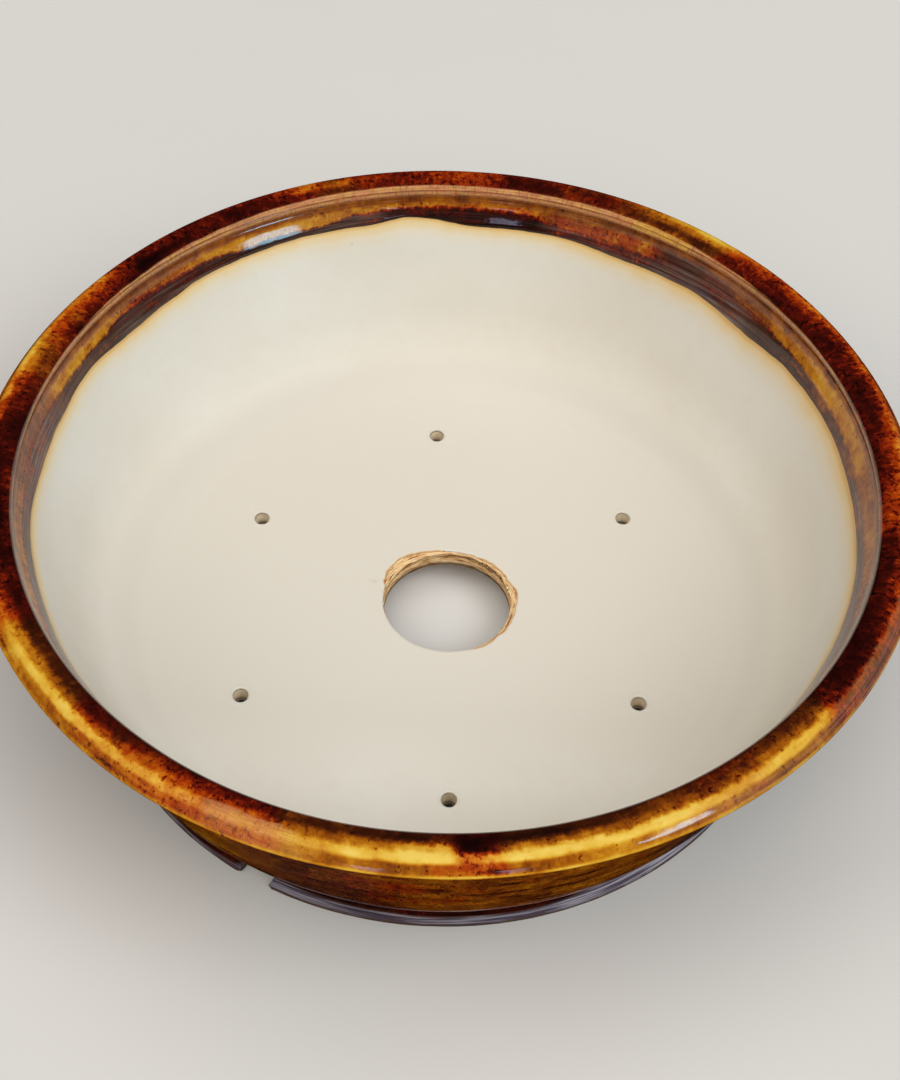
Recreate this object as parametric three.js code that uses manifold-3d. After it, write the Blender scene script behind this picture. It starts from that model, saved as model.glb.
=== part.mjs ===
// Round glazed bonsai pot, wheel thrown, with a rolled lip, a drain hole, six
// wire holes and three feet. Units are millimetres and +Z is up. The pot stands
// on z = 0 with its axis on Z. The fired clay pieces and the glaze layers that
// cover them are separate solids.
import * as THREE from "three";
import { mergeVertices } from "three/addons/utils/BufferGeometryUtils.js";
import Module from "manifold-3d";

// Driving dimensions.
const SHOULDER_RADIUS = 150; // crisp upper outer edge of the lip
const SHOULDER_HEIGHT = 86.2;
const MOUTH_RADIUS = 140; // inner edge of the lip
const LIP_CROWN = 0.6; // rise of the lip's top over its shoulder
const RIDGE_RADIUS = 153.2; // the lip's lower outer edge, its widest place
const RIDGE_HEIGHT = 82.4;
const WALL_TOP_RADIUS = 144; // where the wall meets the lip's underside
const WALL_TOP_HEIGHT = 76;
const WALL_FOOT_RADIUS = 120.2;
const WALL_TOE = 0.4; // thickness of the wall's inner edge on the slab
const LIP_JOINT_HEIGHT = 74; // where the rolled lip sits on the wall
const BAND_TOP_HEIGHT = 81.6; // where the lip's glaze passes into the inner band
const BAND_FOOT_RADIUS = 134.9; // lower edge of the amber band inside the mouth
const BAND_FOOT_HEIGHT = 71.2;
const FLOOR_HEIGHT = 15.7; // glazed floor inside the pot
const FOOT_HEIGHT = 9; // underside of the floor over the table
const GLAZE = 0.6; // thickness of every glaze layer
const FIT = 0.05; // gap between a glaze layer and its neighbours
const DRAIN_RADIUS = 22.2;
const DRAIN_BEVEL = 0.9;
const DRAIN_CENTRE = [1.3, 0.6];
const DRAIN_BARE_RIM = 1.6; // bare clay left round the drain hole
const WIRE_HOLE_RADIUS = 2.95;
const WIRE_HOLE_BARE_RIM = 0.3;
const FOOT_COUNT = 3;
const FOOT_INNER_RADIUS = 106;
const FOOT_EDGE_ROUNDING = 1;
const FOOT_GLAZE_START = 0.6; // glaze is wiped off the foot below this height
const NOTCH_ANGLE = 1; // degrees from +X to the first notch between two feet
const NOTCH_HALF_WIDTH = 5.4; // at the table
const NOTCH_TOP_HALF_WIDTH = 11; // at the underside of the pot
const NOTCH_CURVE = 1.4; // how far the notch's sides bow
const NOTCH_BOW_SHARE = 0.45; // height of the bow, as a share of the foot's height
const NOTCH_SHOULDER_SHARE = 0.75; // where its sides turn upright, as a share of the same
const SEGMENTS = 60;
const HOLE_SEGMENTS = 16;

// The wire holes are punched by hand, so each has its own angle and radius.
const WIRE_HOLES = [
  { angle: 33, radius: 76.7 },
  { angle: 93, radius: 81 },
  { angle: 151, radius: 76 },
  { angle: 212.5, radius: 79.7 },
  { angle: 272.5, radius: 82.4 },
  { angle: 328, radius: 78.6 },
];
const FOOT_NAMES = ["rear_right", "left", "front_right"];

const wasm = await Module();
wasm.setup();

const material = (color, roughness) => new THREE.MeshStandardMaterial({ color, roughness, metalness: 0 });
const bareClay = () => material(0xc9a57c, 0.85);
const creamGlaze = () => material(0xd9ceb8, 0.45);
const amberGlaze = () => material(0x8a3f10, 0.15);

const toPoints = (pairs) => pairs.map(([radius, height]) => new THREE.Vector2(radius, height));
const smooth = (pairs, steps) => new THREE.SplineCurve(toPoints(pairs)).getPoints(steps);

// Glazed surfaces, as [radius, height] points from the lower end to the upper end.
// The outer surface has the pot on its left, and the inner ones have it on their
// right.
const innerSurface = smooth(
  [
    [99, FLOOR_HEIGHT],
    [107.5, 17.2],
    [115, 23],
    [121, 33],
    [126, 46],
    [130.5, 59],
    [BAND_FOOT_RADIUS, BAND_FOOT_HEIGHT],
  ],
  8,
);
const bandSurface = toPoints([
  [BAND_FOOT_RADIUS, BAND_FOOT_HEIGHT],
  [137.4, 76.6],
  [MOUTH_RADIUS - 0.5, BAND_TOP_HEIGHT],
]);
const outerSurface = smooth(
  [
    [WALL_FOOT_RADIUS, FOOT_HEIGHT + 0.9],
    [126.6, 21],
    [131.4, 34],
    [135.8, 48],
    [140, 63],
    [WALL_TOP_RADIUS, WALL_TOP_HEIGHT],
  ],
  7,
);

// The lip's surface, from the mouth over the crown and the ridge to its underside.
const lipSurface = toPoints([
  [MOUTH_RADIUS - 0.5, BAND_TOP_HEIGHT],
  [MOUTH_RADIUS - 0.9, 82.6],
  [MOUTH_RADIUS - 0.9, 83.3],
  [MOUTH_RADIUS - 0.4, 84],
  [MOUTH_RADIUS, SHOULDER_HEIGHT - 1.4],
  [MOUTH_RADIUS + 1.4, SHOULDER_HEIGHT],
  [MOUTH_RADIUS + 6, SHOULDER_HEIGHT + LIP_CROWN],
  [SHOULDER_RADIUS - 1.2, SHOULDER_HEIGHT + 0.4],
  [SHOULDER_RADIUS, SHOULDER_HEIGHT],
  [SHOULDER_RADIUS + 1.7, SHOULDER_HEIGHT - 1.6],
  [RIDGE_RADIUS, RIDGE_HEIGHT],
  [RIDGE_RADIUS - 1.2, RIDGE_HEIGHT - 1.8],
  [RIDGE_RADIUS - 4.4, RIDGE_HEIGHT - 3.6],
  [WALL_TOP_RADIUS, WALL_TOP_HEIGHT],
]);

// A foot's outer face, from its flared toe on the table up to the groove under the
// wall.
const footSurface = toPoints([
  [119.9, 0],
  [120.3, FOOT_GLAZE_START],
  [119.3, 2.2],
  [118.6, 3.4],
  [118.2, 5],
  [118, 7],
  [117.9, FOOT_HEIGHT],
]);

// A path moved sideways: positive distances move it to its left.
function offsetPath(path, distance) {
  return path.map((point, index) => {
    const before = path[Math.max(index - 1, 0)];
    const after = path[Math.min(index + 1, path.length - 1)];
    const into = point.clone().sub(before);
    const out = after.clone().sub(point);
    if (index === 0) into.copy(out);
    if (index === path.length - 1) out.copy(into);
    const bisector = into.normalize().add(out.normalize()).normalize();
    const stretch = 1 / Math.max(bisector.dot(out), 0.5);
    const left = new THREE.Vector2(-bisector.y, bisector.x);
    return point.clone().addScaledVector(left, distance * stretch);
  });
}

// The lathe turns about Y, so the turned shape is tipped up onto Z. A profile
// that runs clockwise is reversed so that the surface faces out.
function turned(profile) {
  const loop = THREE.ShapeUtils.isClockWise(profile) ? profile.slice().reverse() : profile.slice();
  loop.push(loop[0].clone());
  const geometry = new THREE.LatheGeometry(loop, SEGMENTS);
  geometry.rotateX(Math.PI / 2);
  return geometry;
}

function toSolid(geometry) {
  const bare = geometry.clone();
  bare.deleteAttribute("normal");
  bare.deleteAttribute("uv");
  const merged = mergeVertices(bare);
  return new wasm.Manifold(
    new wasm.Mesh({
      numProp: 3,
      vertProperties: new Float32Array(merged.attributes.position.array),
      triVerts: new Uint32Array(merged.index.array),
    }),
  );
}

function toGeometry(solid) {
  const mesh = solid.getMesh();
  const geometry = new THREE.BufferGeometry();
  geometry.setAttribute("position", new THREE.BufferAttribute(mesh.vertProperties, 3));
  geometry.setIndex(new THREE.BufferAttribute(mesh.triVerts, 1));
  geometry.computeVertexNormals();
  return geometry;
}

function upright(radius, segments, x, y) {
  const length = 60;
  const cylinder = new THREE.CylinderGeometry(radius, radius, length, segments);
  cylinder.rotateX(Math.PI / 2);
  cylinder.translate(x, y, FOOT_HEIGHT);
  return toSolid(cylinder);
}

// The drain hole and the six wire holes, each opened out by its own margin.
function floorHoles(drainMargin, wireMargin) {
  let holes = upright(DRAIN_RADIUS + drainMargin, SEGMENTS, ...DRAIN_CENTRE);
  for (const { angle, radius } of WIRE_HOLES) {
    const turn = THREE.MathUtils.degToRad(angle);
    const x = radius * Math.cos(turn);
    const y = radius * Math.sin(turn);
    holes = holes.add(upright(WIRE_HOLE_RADIUS + wireMargin, HOLE_SEGMENTS, x, y));
  }
  return holes;
}

// The worn bevel round the drain hole's upper edge.
function drainBevel(topHeight) {
  const start = topHeight - DRAIN_BEVEL;
  const overrun = 2;
  const cone = new THREE.LatheGeometry(
    toPoints([
      [0, start],
      [DRAIN_RADIUS, start],
      [DRAIN_RADIUS + DRAIN_BEVEL + overrun, topHeight + overrun],
      [0, topHeight + overrun],
    ]),
    SEGMENTS,
  );
  cone.rotateX(Math.PI / 2);
  cone.translate(...DRAIN_CENTRE, 0);
  return toSolid(cone);
}

// The whole glazed contour, from the floor up to the mouth, over the lip and down
// the outside to the groove, with the clay on its right all the way.
const fallingOuter = outerSurface.slice().reverse();
const contour = [innerSurface, bandSurface.slice(1), lipSurface.slice(1), fallingOuter.slice(1)].flat();
const bandStart = innerSurface.length - 1;
const lipStart = bandStart + bandSurface.length - 1;
const lipEnd = lipStart + lipSurface.length - 1;

// The glaze layers' undersides, and the clay a fitting gap below them.
const clayDepth = GLAZE + FIT;
const underside = offsetPath(contour, -GLAZE);
const clay = offsetPath(contour, -clayDepth);
const clayInner = clay.slice(0, lipStart + 1);
const clayOuter = clay.slice(lipEnd).reverse();
const slabTop = FLOOR_HEIGHT - clayDepth;

// The point of a rising path at a height.
function pointAt(path, height) {
  const above = path.findIndex((point) => point.y >= height);
  const [from, to] = [path[above - 1], path[above]];
  return from.clone().lerp(to, (height - from.y) / (to.y - from.y));
}

function between(path, low, high) {
  const inside = path.filter((point) => point.y > low && point.y < high);
  return [pointAt(path, low), ...inside, pointAt(path, high)];
}

const wallInner = between(clayInner, slabTop + WALL_TOE, LIP_JOINT_HEIGHT);
const wallOuter = between(clayOuter, slabTop, LIP_JOINT_HEIGHT);

function floorSlab() {
  const lowest = clayOuter[0];
  const disc = turned([
    new THREE.Vector2(0, FOOT_HEIGHT),
    new THREE.Vector2(lowest.x - FOOT_EDGE_ROUNDING, FOOT_HEIGHT),
    lowest,
    pointAt(clayOuter, slabTop),
    new THREE.Vector2(0, slabTop),
  ]);
  return toGeometry(toSolid(disc).subtract(floorHoles(0, 0)).subtract(drainBevel(slabTop)));
}

// The wall stands on the slab and carries the lip.
function wallProfile() {
  const footing = new THREE.Vector2(wallInner[0].x, slabTop);
  return [footing, ...wallInner, ...wallOuter.slice().reverse()];
}

function lipProfile() {
  const inside = clayInner.filter((point) => point.y > LIP_JOINT_HEIGHT);
  const over = clay.slice(lipStart + 1, lipEnd + 1);
  return [wallInner.at(-1), ...inside, ...over, wallOuter.at(-1)];
}

// A stretch of the glaze between two points of the contour.
function glazeLayer(start, end) {
  return [...contour.slice(start, end + 1), ...underside.slice(start, end + 1).reverse()];
}

// The cream layer covers the floor and the inside of the wall in one sheet, and
// stops a fitting gap short of the amber band.
function linerGlaze() {
  const profile = glazeLayer(0, bandStart).map((point) => point.clone());
  profile[bandStart].y -= FIT;
  profile[bandStart + 1].y -= FIT;
  const floorEdge = profile.pop();
  const sheet = turned([
    new THREE.Vector2(0, floorEdge.y),
    new THREE.Vector2(0, FLOOR_HEIGHT),
    ...profile,
    floorEdge,
  ]);
  return toGeometry(toSolid(sheet).subtract(floorHoles(DRAIN_BARE_RIM, WIRE_HOLE_BARE_RIM)));
}

// The opening between two feet. Its sides lean out as they rise, so that each
// foot ends in a pointed toe. It runs out along +X before it is turned.
function notch(angle, margin) {
  const half = NOTCH_HALF_WIDTH + margin;
  const topHalf = NOTCH_TOP_HALF_WIDTH + margin;
  const bow = half + NOTCH_CURVE;
  const bowHeight = FOOT_HEIGHT * NOTCH_BOW_SHARE;
  const archHeight = FOOT_HEIGHT * NOTCH_SHOULDER_SHARE;
  const overrun = 1;
  const outline = new THREE.Shape();
  outline.moveTo(-half, -overrun);
  outline.lineTo(half, -overrun);
  outline.lineTo(half, 0);
  outline.quadraticCurveTo(bow, bowHeight, topHalf, archHeight);
  outline.lineTo(topHalf, FOOT_HEIGHT + overrun);
  outline.lineTo(-topHalf, FOOT_HEIGHT + overrun);
  outline.lineTo(-topHalf, archHeight);
  outline.quadraticCurveTo(-bow, bowHeight, -half, 0);
  const clearance = 10;
  const depth = WALL_FOOT_RADIUS - FOOT_INNER_RADIUS + 2 * clearance;
  const block = new THREE.ExtrudeGeometry(outline, { depth, bevelEnabled: false, curveSegments: 4 });
  block.rotateX(Math.PI / 2);
  block.rotateZ(Math.PI / 2);
  block.translate(FOOT_INNER_RADIUS - clearance, 0, 0);
  block.rotateZ(THREE.MathUtils.degToRad(angle));
  return toSolid(block);
}

// A turned ring cut into three arcs, in order round the pot from the first notch.
function footArcs(profile, margin) {
  let ring = toSolid(turned(profile));
  for (let index = 0; index < FOOT_COUNT; index += 1) {
    ring = ring.subtract(notch(NOTCH_ANGLE + (360 / FOOT_COUNT) * index, margin));
  }
  const arcs = ring.decompose().map((solid) => {
    const { min, max } = solid.boundingBox();
    const turn = THREE.MathUtils.radToDeg(Math.atan2(min[1] + max[1], min[0] + max[0]));
    return { solid, turn: THREE.MathUtils.euclideanModulo(turn - NOTCH_ANGLE, 360) };
  });
  arcs.sort((a, b) => a.turn - b.turn);
  return arcs.map(({ solid }) => toGeometry(solid));
}

// The clay of a foot lies under its glaze, down to the bare edge that it stands on.
function footProfile() {
  const outer = offsetPath(footSurface, clayDepth);
  outer[0].y = 0;
  outer[outer.length - 1].y = FOOT_HEIGHT;
  return [
    new THREE.Vector2(FOOT_INNER_RADIUS + FOOT_EDGE_ROUNDING, 0),
    ...outer,
    new THREE.Vector2(FOOT_INNER_RADIUS - FOOT_EDGE_ROUNDING, FOOT_HEIGHT),
    new THREE.Vector2(FOOT_INNER_RADIUS, FOOT_EDGE_ROUNDING),
  ];
}

function footGlazeProfile() {
  const face = footSurface.slice(1).map((point) => point.clone());
  face[face.length - 1].y -= FIT;
  return [...face, ...offsetPath(face, GLAZE).reverse()];
}

const pot = new THREE.Group();

function addPiece(name, geometry, finish) {
  const mesh = new THREE.Mesh(geometry, finish);
  mesh.name = name;
  pot.add(mesh);
}

addPiece("floor_slab", floorSlab(), bareClay());
addPiece("wall", turned(wallProfile()), bareClay());
addPiece("rolled_lip", turned(lipProfile()), bareClay());
footArcs(footProfile(), 0).forEach((arc, index) => {
  addPiece(`foot_${FOOT_NAMES[index]}`, arc, bareClay());
});
addPiece("liner_glaze", linerGlaze(), creamGlaze());
addPiece("inner_band_glaze", turned(glazeLayer(bandStart, lipStart)), amberGlaze());
addPiece("lip_glaze", turned(glazeLayer(lipStart, lipEnd)), amberGlaze());
addPiece("wall_glaze", turned(glazeLayer(lipEnd, contour.length - 1)), amberGlaze());
footArcs(footGlazeProfile(), GLAZE).forEach((arc, index) => {
  addPiece(`foot_glaze_${FOOT_NAMES[index]}`, arc, amberGlaze());
});

export default pot;
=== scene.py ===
import math
import bpy
import numpy as np
from mathutils import Matrix, Vector
from mathutils.geometry import delaunay_2d_cdt


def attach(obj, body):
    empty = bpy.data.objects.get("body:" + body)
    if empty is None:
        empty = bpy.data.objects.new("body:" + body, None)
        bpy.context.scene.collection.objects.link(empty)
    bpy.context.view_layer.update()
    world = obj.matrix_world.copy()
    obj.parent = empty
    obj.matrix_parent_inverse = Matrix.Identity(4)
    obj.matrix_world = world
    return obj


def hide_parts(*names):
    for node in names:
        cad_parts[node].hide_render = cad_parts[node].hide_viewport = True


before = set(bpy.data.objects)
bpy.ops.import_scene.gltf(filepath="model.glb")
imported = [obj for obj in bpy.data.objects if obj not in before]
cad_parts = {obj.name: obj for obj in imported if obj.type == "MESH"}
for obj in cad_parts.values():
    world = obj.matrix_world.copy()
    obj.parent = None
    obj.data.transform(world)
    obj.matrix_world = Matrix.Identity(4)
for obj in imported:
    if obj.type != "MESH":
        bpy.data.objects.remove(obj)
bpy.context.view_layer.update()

# Everything is measured in millimetres here and turned into metres when a mesh
# is made. Angles are in degrees round the pot from +X, as seen from above.
MM = 0.001
GLAZE = 0.6
FLOOR_TOP = 15.7
FLOOR_UNDERSIDE = 9.0
FLOOR_EDGE = 99.0  # where the cream glaze turns up from the floor
LINER_TOP = 77.5  # the cream glaze ends here, under the amber band
CLAY_EDGE = 118.6
DRAIN_CENTRE = np.array([1.3, 0.6])
DRAIN_RADIUS = 22.2
WIRE_RADIUS = 2.62
WIRE_HOLES = [(33, 76.7), (93, 81), (151, 76), (212.5, 79.7), (272.5, 82.4), (328, 78.6)]
SCUFF = (-24.8, 8.6, 0.0)
NOTCHES = [1, 121, 241]
FOOT_TURN = 120
FOOT_TOP = 8.95
FOOT_RADIUS = 113  # the middle of a foot
FOOT_FACE = 119  # its outer face
FLOW_RADIUS = 145.0
STUDIO_SCALE = 10
STUDIO_HALF = 60.0
COLUMNS = 960
LINER_COLUMNS = 720
FOOT_COLUMNS = 420


# ---------------------------------------------------------------- numbers

def catmull(points, step):
    """Points every step mm or so along a smooth line through the control points."""
    p = np.array(points, float)
    p = np.vstack([2 * p[0] - p[1], p, 2 * p[-1] - p[-2]])
    out = []
    for i in range(1, len(p) - 2):
        a, b, c, d = p[i - 1:i + 3]
        n = max(1, int(round(np.linalg.norm(c - b) / step)))
        t = (np.arange(n) / n)[:, None]
        ta, tb, tc = (np.linalg.norm(q) ** 0.5 for q in (b - a, c - b, d - c))
        m1 = (c - b) + tb * ((b - a) / ta - (c - a) / (ta + tb))
        m2 = (c - b) + tb * ((d - c) / tc - (d - b) / (tb + tc))
        out.append((2 * t**3 - 3 * t**2 + 1) * b + (t**3 - 2 * t**2 + t) * m1
                   + (3 * t**2 - 2 * t**3) * c + (t**3 - t**2) * m2)
    return np.vstack(out + [p[-2:-1]])


def lengths(path):
    return np.r_[0, np.cumsum(np.hypot(*np.diff(path, axis=0).T))]


def left_normals(path):
    """Unit normals on the left of a path of (radius, height) points."""
    t = np.gradient(path, axis=0)
    t /= np.linalg.norm(t, axis=1)[:, None]
    return np.stack([-t[:, 1], t[:, 0]], 1)


def smooth(low, high, x):
    t = np.clip((x - low) / (high - low), 0, 1)
    return t * t * (3 - 2 * t)


def hump(x, at, wide):
    return np.exp(-((x - at) / wide) ** 2)


def rounded(x, wide):
    """From 0 to 1 along a quarter of a circle."""
    return np.sqrt(np.clip(1 - (1 - x / wide).clip(0, 1) ** 2, 0, 1))


def mixed(a, b, t):
    return a * (1 - t) + b * t


def on_circle(angle, third=0.0):
    """Points on a circle of radius 1, with a third coordinate."""
    turn, third = np.broadcast_arrays(np.deg2rad(angle), third)
    return np.stack([np.cos(turn), np.sin(turn), third], -1)


def around(points, centre=(0, 0)):
    """How far points lie from a centre, and their angles round it."""
    d = points[:, :2] - centre
    return np.hypot(*d.T), np.degrees(np.arctan2(d[:, 1], d[:, 0]))


def lattice(cell, seed):
    """A fixed number from 0 to 1 for every whole cell, with no pattern to it."""
    i, j, k = (cell[..., n] * np.uint32(prime) for n, prime in enumerate((374761393, 668265263, 2246822519)))
    h = (i ^ j ^ k ^ np.uint32(seed * 97 + 13)) * np.uint32(3266489917)
    h = (h ^ (h >> np.uint32(15))) * np.uint32(2654435761)
    h = h ^ (h >> np.uint32(13))
    return h.astype(np.float64) / 4294967295.0


def noise(p, seed=0):
    """Smooth noise from -1 to 1 at points p, with one cell a unit."""
    f = np.floor(p)
    t = p - f
    t = t * t * (3 - 2 * t)
    cell = f.astype(np.int64).astype(np.uint32)
    total = 0
    for corner in np.ndindex(2, 2, 2):
        weight = 1
        for n, far in enumerate(corner):
            weight = weight * (t[..., n] if far else 1 - t[..., n])
        total = total + weight * lattice(cell + np.array(corner, np.uint32), seed)
    return total * 2 - 1


def layered(p, octaves, seed=0):
    total, weight, size = 0, 1.0, 0.0
    for o in range(octaves):
        total = total + weight * noise(p * 2**o, seed + o)
        size += weight
        weight *= 0.5
    return total / size


def round_table(rows, angle):
    """Values at an angle from rows of (angle, value, value...), eased between rows."""
    rows = np.array(sorted(rows), float)
    a, v = rows[:, 0], rows[:, 1:]
    a = np.r_[a[-1] - 360, a, a[0] + 360]
    v = np.vstack([v[-1:], v, v[:1]])
    at = np.mod(angle, 360.0)
    n = np.clip(np.searchsorted(a, at, side="right") - 1, 0, len(a) - 2)
    t = (at - a[n]) / (a[n + 1] - a[n])
    return mixed(v[n], v[n + 1], (t * t * (3 - 2 * t))[..., None])


# ---------------------------------------------------------------- meshes

def make_piece(name, verts, faces, material, slot, stands_for, **attributes):
    """A mesh piece from points in mm and quads or triangles. Its faces are turned out."""
    verts = np.asarray(verts, float)
    groups = [np.asarray(f, np.int64) for f in faces]
    volume = 0.0
    for f in groups:
        for k in range(1, f.shape[1] - 1):
            a, b, c = verts[f[:, 0]], verts[f[:, k]], verts[f[:, k + 1]]
            volume += np.einsum("ij,ij->i", a, np.cross(b, c)).sum()
    if volume < 0:
        groups = [f[:, ::-1] for f in groups]
    mesh = bpy.data.meshes.new(name)
    sizes = np.concatenate([np.full(len(f), f.shape[1]) for f in groups])
    corners = np.concatenate([f.ravel() for f in groups])
    mesh.vertices.add(len(verts))
    mesh.vertices.foreach_set("co", (verts * MM).astype(np.float32).ravel())
    mesh.loops.add(len(corners))
    mesh.loops.foreach_set("vertex_index", corners.astype(np.int32))
    mesh.polygons.add(len(sizes))
    mesh.polygons.foreach_set("loop_start", np.r_[0, np.cumsum(sizes)[:-1]].astype(np.int32))
    mesh.polygons.foreach_set("loop_total", sizes.astype(np.int32))
    mesh.polygons.foreach_set("use_smooth", np.ones(len(sizes), bool))
    mesh.update(calc_edges=True)
    mesh.validate()
    for key, values in attributes.items():
        values = np.asarray(values, np.float32)
        kind, field = ("FLOAT_VECTOR", "vector") if values.ndim == 2 else ("FLOAT", "value")
        mesh.attributes.new(key, kind, "POINT").data.foreach_set(field, values.ravel())
    mesh.materials.append(material)
    piece = bpy.data.objects.new(name, mesh)
    bpy.context.scene.collection.objects.link(piece)
    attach(piece, "root")
    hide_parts(stands_for)


def sheet_faces(rows, cols, wrap_rows, wrap_cols, base=0):
    """The quads of a grid of points, closed on itself by rows or by columns."""
    i = np.arange(rows if wrap_rows else rows - 1)
    j = np.arange(cols if wrap_cols else cols - 1)
    i, j = np.meshgrid(i, j, indexing="ij")
    i2, j2 = (i + 1) % rows, (j + 1) % cols
    return base + np.stack([i * cols + j, i * cols + j2, i2 * cols + j2, i2 * cols + j], -1).reshape(-1, 4)


def ladder_faces(a, b, flip):
    """The quads between two closed loops of points."""
    q = np.stack([a, np.roll(a, -1), np.roll(b, -1), b], 1)
    return q[:, ::-1] if flip else q


def spun(radius, height, angle):
    """Points of a turned grid: radius and height by (row, column), angle by column or both."""
    radius, height = np.broadcast_arrays(radius, height)
    p = on_circle(np.broadcast_to(angle, radius.shape))
    return np.stack([radius * p[..., 0], radius * p[..., 1], height], -1).reshape(-1, 3)


def flow_of(along, angle):
    """Noise coordinates in mm that run round the pot and down its profile."""
    return on_circle(angle, along) * [FLOW_RADIUS, FLOW_RADIUS, 1]


def pushed(path, normals, lift):
    """A path's radius and height by row and column, moved along its normals."""
    return path[:, :1] + lift * normals[:, :1], path[:, 1:] + lift * normals[:, 1:]


def backing(path, normals, every, columns):
    """The hidden side of a glaze layer, with fewer rows than its outer side."""
    few = np.r_[0:len(path) - 1:every, len(path) - 1]
    return pushed(path[few], normals[few], np.full((1, columns), -GLAZE))


# ---------------------------------------------------------------- shader nodes

def linear(r, g, b):
    """An sRGB colour from 0 to 255 as a linear one."""
    part = (c / 12.92 if c <= 0.04045 else ((c + 0.055) / 1.055) ** 2.4 for c in (r / 255, g / 255, b / 255))
    return (*part, 1.0)


class Finish:
    """Builds a material's nodes. A value or a node's output goes to each input by name."""

    def __init__(self, name):
        self.material = bpy.data.materials.new(name)
        self.material.use_nodes = True
        self.tree = self.material.node_tree
        self.tree.nodes.clear()
        out = self.tree.nodes.new("ShaderNodeOutputMaterial")
        self.body = self.tree.nodes.new("ShaderNodeBsdfPrincipled")
        self.tree.links.new(self.body.outputs[0], out.inputs["Surface"])

    def put(self, socket, value):
        if isinstance(value, bpy.types.NodeSocket):
            self.tree.links.new(value, socket)
        else:
            socket.default_value = value

    def node(self, kind, settings=None, output=0, **inputs):
        n = self.tree.nodes.new("ShaderNode" + kind)
        for key, value in (settings or {}).items():
            setattr(n, key, value)
        for key, value in inputs.items():
            key = key.replace("_", " ")
            self.put(n.inputs[int(key[3:]) if key.startswith("in ") else key], value)
        return n.outputs[output]

    def attribute(self, name, output="Fac"):
        return self.node("Attribute", {"attribute_name": name}, output)

    def millimetres(self):
        """The piece's own coordinates."""
        place = self.node("TexCoord", None, "Object")
        return self.node("VectorMath", {"operation": "SCALE"}, in_0=place, Scale=1000.0)

    def math(self, operation, a, b=0.0, c=0.0, clamp=False):
        return self.node("Math", {"operation": operation, "use_clamp": clamp}, in_0=a, in_1=b, in_2=c)

    def times(self, a, b):
        return self.math("MULTIPLY", a, b)

    def minus(self, a, b=0.5):
        return self.math("SUBTRACT", a, b)

    def plus(self, base, amount, share, clamp=False):
        """The base with a share of the amount added."""
        return self.math("MULTIPLY_ADD", amount, share, base, clamp)

    def scaled(self, vector, x, y, z):
        return self.node("VectorMath", {"operation": "MULTIPLY"}, in_0=vector, in_1=(x, y, z))

    def noise(self, vector, scale, detail=2.0, roughness=0.5, distortion=0.0):
        return self.node("TexNoise", None, "Fac", Vector=vector, Scale=scale, Detail=detail,
                         Roughness=roughness, Distortion=distortion, Lacunarity=2.0)

    def cells(self, vector, scale):
        """How far each point is from the middle of its cell."""
        return self.node("TexVoronoi", {"feature": "F1"}, "Distance", Vector=vector, Scale=scale)

    def spread(self, value, low, high, to_low=0.0, to_high=1.0, kind="SMOOTHSTEP"):
        return self.node("MapRange", {"interpolation_type": kind}, 0, in_0=value, in_1=low,
                         in_2=high, in_3=to_low, in_4=to_high)

    def ramp(self, value, stops):
        n = self.tree.nodes.new("ShaderNodeValToRGB")
        elements = n.color_ramp.elements
        while len(elements) < len(stops):
            elements.new(0.5)
        for element, (position, *colour) in zip(elements, stops):
            element.position = position
            element.color = linear(*colour)
        self.put(n.inputs[0], value)
        return n.outputs[0]

    def mix(self, factor, a, b):
        """One colour over another. Each is an output or an sRGB colour."""
        n = self.tree.nodes.new("ShaderNodeMix")
        n.data_type, n.clamp_factor = "RGBA", True
        for at, value in ((0, factor), (6, a), (7, b)):
            self.put(n.inputs[at], linear(*value) if isinstance(value, tuple) else value)
        return n.outputs[2]

    def bump(self, height, distance, normal=None):
        n = self.tree.nodes.new("ShaderNodeBump")
        self.put(n.inputs["Height"], height)
        self.put(n.inputs["Distance"], distance)
        self.put(n.inputs["Strength"], 1.0)
        if normal is not None:
            self.put(n.inputs["Normal"], normal)
        return n.outputs[0]

    def surface(self, **inputs):
        for key, value in inputs.items():
            self.put(self.body.inputs[key.replace("_", " ")], value)
        return self.material


# The amber glaze from thin to thick, where it breaks honey and where it breaks red.
HONEY = [(0.00, 230, 196, 92), (0.12, 218, 172, 58), (0.26, 196, 132, 27), (0.40, 160, 88, 14),
         (0.55, 112, 52, 11), (0.70, 66, 26, 9), (0.85, 42, 16, 8), (1.00, 20, 8, 6)]
RUBY = [(0.00, 232, 192, 84), (0.12, 218, 158, 50), (0.26, 194, 106, 20), (0.40, 166, 60, 10),
        (0.54, 120, 30, 8), (0.68, 78, 16, 8), (0.84, 44, 9, 6), (1.00, 20, 5, 5)]


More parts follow.
